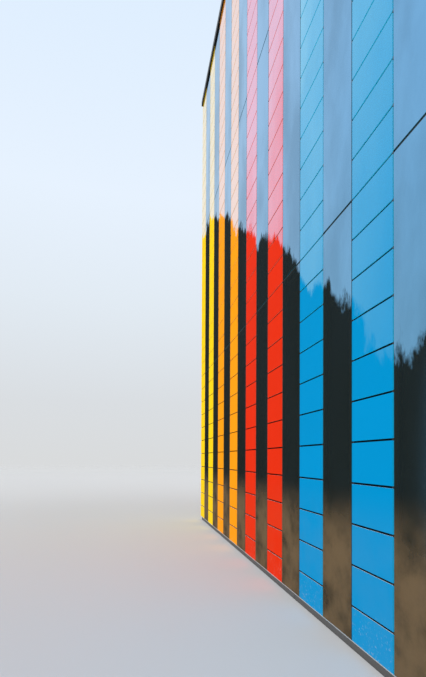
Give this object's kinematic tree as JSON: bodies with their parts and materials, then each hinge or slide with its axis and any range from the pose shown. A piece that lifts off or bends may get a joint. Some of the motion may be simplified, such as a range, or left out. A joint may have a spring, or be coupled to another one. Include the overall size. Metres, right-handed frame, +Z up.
{
  "type": "school building",
  "caption": "Flat-roofed school building with a flush face of coloured glass strips between storey-high windows and a glazed entrance.",
  "frame": {"origin": "middle of the plan, at ground level", "axes": "+Z up, +X along the long sides, the front with the pictured face towards -Y"},
  "size_m": [18.676, 11.476, 11.225],
  "materials": {
    "concrete": "fair-faced cast concrete",
    "wall": "plain insulated wall, fine float finish",
    "roof_membrane": "matt bitumen sheet, laid in rolls",
    "plinth": "dark grey cement board",
    "pale_metal": "satin anodised",
    "black_metal": "black powder coat, satin",
    "frame_metal": "dark grey powder coat, satin",
    "window_glass": "solar control glass, blue-grey and strongly reflecting",
    "yellow_glass": "enamelled glass, full gloss",
    "orange_glass": "enamelled glass, full gloss",
    "red_glass": "enamelled glass, full gloss",
    "blue_glass": "enamelled glass, full gloss",
    "handle_steel": "brushed"
  },
  "bodies": {
    "root": {"ground_slab": "concrete", "first_floor": "concrete", "second_floor": "concrete", "roof_slab": "concrete", "roof_covering": "roof_membrane", "plinth": "plinth", "drip_edge": "pale_metal", "parapet": "wall", "roof_edge_trim": "black_metal", "front_wall": "wall", "back_wall": "wall", "left_wall": "wall", "right_wall": "wall", "front_window_frames": "frame_metal", "back_window_frames": "frame_metal", "left_window_frames": "frame_metal", "right_window_frames": "frame_metal", "front_windows": "window_glass", "back_windows": "window_glass", "left_windows": "window_glass", "right_windows": "window_glass", "front_yellow_strips": "yellow_glass", "front_orange_strips": "orange_glass", "front_red_strips": "red_glass", "front_blue_strips": "blue_glass", "back_yellow_strips": "yellow_glass", "back_orange_strips": "orange_glass", "back_red_strips": "red_glass", "back_blue_strips": "blue_glass", "left_yellow_strips": "yellow_glass", "left_orange_strips": "orange_glass", "left_red_strips": "red_glass", "right_yellow_strips": "yellow_glass", "right_orange_strips": "orange_glass", "right_red_strips": "red_glass", "entrance_lintel": "wall", "entrance_frame": "frame_metal", "entrance_doors": "frame_metal", "entrance_glass": "window_glass", "entrance_handles": "handle_steel", "entrance_threshold": "concrete"}
  },
  "joints": []
}
